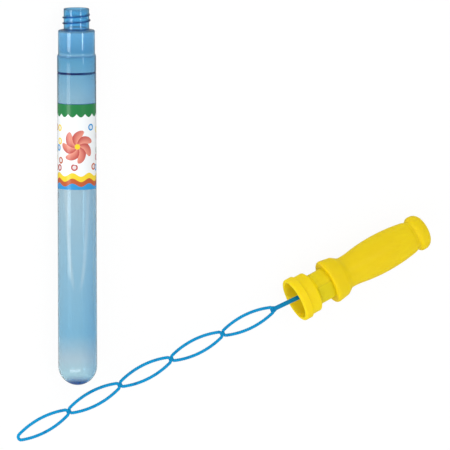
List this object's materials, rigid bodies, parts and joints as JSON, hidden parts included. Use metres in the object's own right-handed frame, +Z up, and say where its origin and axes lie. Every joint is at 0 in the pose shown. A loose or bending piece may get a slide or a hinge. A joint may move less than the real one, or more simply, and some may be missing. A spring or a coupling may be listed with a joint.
{
  "type": "bubble wand",
  "caption": "Bubble wand set: a round-bottomed tube for solution with a threaded neck, and a moulded loop stick held in a screw cap with a bulged hand grip.",
  "frame": {"origin": "on the floor, under the middle of the box that holds the tube and the wand as they lie", "axes": "+Y along the tube towards its mouth, +Z up, +X to the right towards the grip's end"},
  "size_m": [0.3252, 0.3154, 0.0334],
  "materials": {
    "tube_plastic": "clear light-blue blow-moulded bottle plastic, glossy",
    "label_film": "printed plastic film, glossy",
    "handle_plastic": "opaque yellow moulded polyethylene, satin",
    "seal_foam": "white closed-cell foam",
    "stick_plastic": "blue moulded polypropylene, satin"
  },
  "bodies": {
    "tube": {"tube_bottle": "tube_plastic", "label": "label_film"},
    "wand": {"screw_cap": "handle_plastic", "grip_shell": "handle_plastic", "mouth_seal": "seal_foam", "wand_stick": "stick_plastic"}
  },
  "joints": [
    {"name": "wand_lift", "type": "slide", "parent": "tube", "child": "wand", "axis": [0, 0, 1], "range_m": [0, 0.15]}
  ]
}
